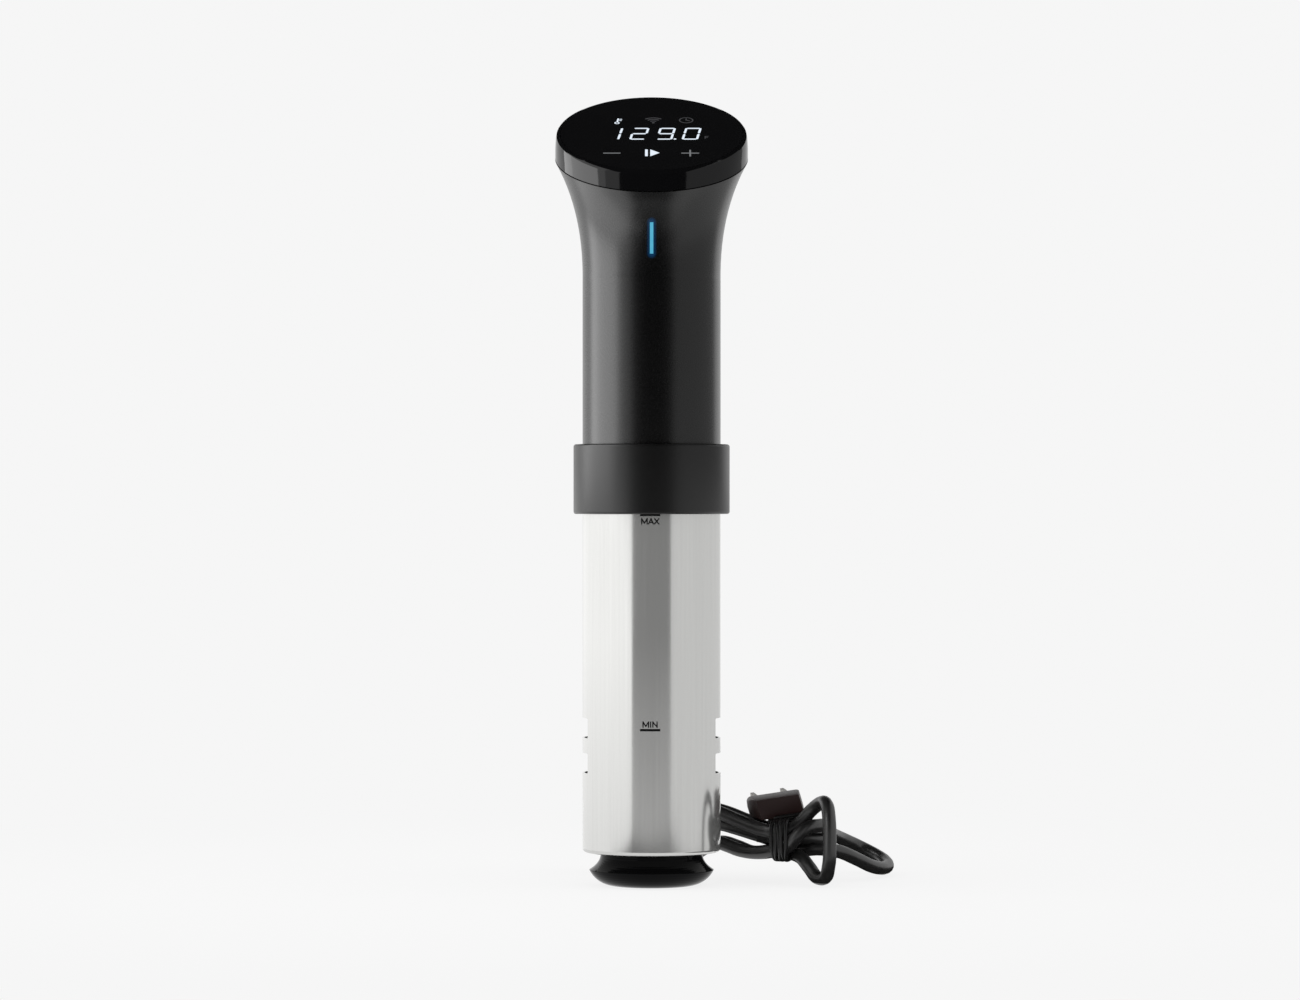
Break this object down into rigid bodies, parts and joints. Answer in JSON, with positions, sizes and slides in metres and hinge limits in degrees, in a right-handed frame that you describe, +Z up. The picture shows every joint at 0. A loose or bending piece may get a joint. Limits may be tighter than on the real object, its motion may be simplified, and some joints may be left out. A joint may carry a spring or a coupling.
{
  "type": "sous vide circulator",
  "caption": "Stick immersion circulator: flared handle with tilted touch display, steel heater skirt with intake slots, pot clamp with screw, and tied power cord.",
  "frame": {"origin": "centre of the foot's flat underside, on the axis of the round body", "axes": "+Z up along the body towards the display, -Y towards the user (the display's low edge), +X to the user's right"},
  "size_m": [0.1491, 0.1325, 0.3248],
  "materials": {
    "glass_black": "near-black glossy display glass",
    "gloss_black": "polished black",
    "satin_black": "satin black moulding",
    "skirt_steel": "satin brushed stainless",
    "steel": "bright turned stainless",
    "heater_steel": "drawn stainless, lightly heat-tinted",
    "brass": "turned",
    "blade_brass": "nickel-tinted brass",
    "rubber_black": "dull black rubber",
    "seal_red": "silicone",
    "board_green": "solder mask",
    "dark_plastic": "matt",
    "pale_plastic": "natural nylon",
    "light_blue": "clear light guide lit blue",
    "aluminium": "extruded",
    "plug_brown": "brown-black moulding",
    "cord_black": "satin PVC sheath"
  },
  "bodies": {
    "housing": {"touch_panel": "glass_black", "bezel_ring": "gloss_black", "display_board": "board_green", "digit_module": "dark_plastic", "icon_guide": "pale_plastic", "handle_shell": "satin_black", "light_pipe": "light_blue", "light_board": "board_green", "control_board": "board_green", "board_parts": "dark_plastic", "heat_sink": "aluminium", "board_bracket": "dark_plastic", "motor_can": "steel", "motor_plate": "steel", "motor_screws": "steel", "lower_neck": "dark_plastic", "neck_seal": "seal_red", "shaft_seal": "rubber_black", "heater_flange": "steel", "flange_screws": "steel", "heater_element": "heater_steel", "temperature_probe": "steel", "level_pins": "steel", "shaft_tube": "steel", "lower_bearing": "pale_plastic", "strain_relief": "rubber_black", "power_cord": "cord_black", "cord_hank": "cord_black", "cord_tie": "rubber_black", "plug_tail": "cord_black", "plug_body": "plug_brown", "plug_blades": "blade_brass"},
    "rotor": {"motor_spindle": "steel", "shaft_coupling": "brass", "drive_shaft": "steel", "impeller": "dark_plastic"},
    "skirt": {"skirt": "skirt_steel"},
    "foot": {"foot_cap": "gloss_black", "foot_seal": "rubber_black"},
    "clamp_sleeve": {"ring_liner": "dark_plastic"},
    "clamp": {"clamp_ring": "satin_black", "jaw_pad": "rubber_black", "screw_nut": "brass"},
    "pressure_pad": {"clamp_pad": "rubber_black"},
    "screw": {"clamp_screw": "steel", "clamp_knob": "satin_black"}
  },
  "joints": [
    {"name": "impeller_spin", "type": "hinge", "parent": "housing", "child": "rotor", "pos_m": [0, 0, 0.03], "axis": [0, 0, 1], "continuous": true},
    {"name": "skirt_pull", "type": "slide", "parent": "housing", "child": "skirt", "axis": [0, 0, -1], "range_m": [0, 0.14]},
    {"name": "foot_pull", "type": "slide", "parent": "skirt", "child": "foot", "axis": [0, 0, -1], "range_m": [0, 0.02]},
    {"name": "clamp_slide", "type": "slide", "parent": "housing", "child": "clamp_sleeve", "axis": [0, 0, 1], "range_m": [-0.07, 0.045]},
    {"name": "clamp_turn", "type": "hinge", "parent": "clamp_sleeve", "child": "clamp", "pos_m": [0, 0, 0.166], "axis": [0, 0, 1], "range_deg": [-180, 0]},
    {"name": "pad_travel", "type": "slide", "parent": "clamp", "child": "pressure_pad", "axis": [0, -1, 0], "range_m": [-0.0137, 0.0078]},
    {"name": "screw_turn", "type": "hinge", "parent": "pressure_pad", "child": "screw", "pos_m": [0, 0.0474, 0.13], "axis": [0, -1, 0], "range_deg": [-1680, 960]}
  ],
  "couplings": [
    {"joint": "screw_turn", "follows": "pad_travel", "rad_per_m": 2094.4}
  ]
}
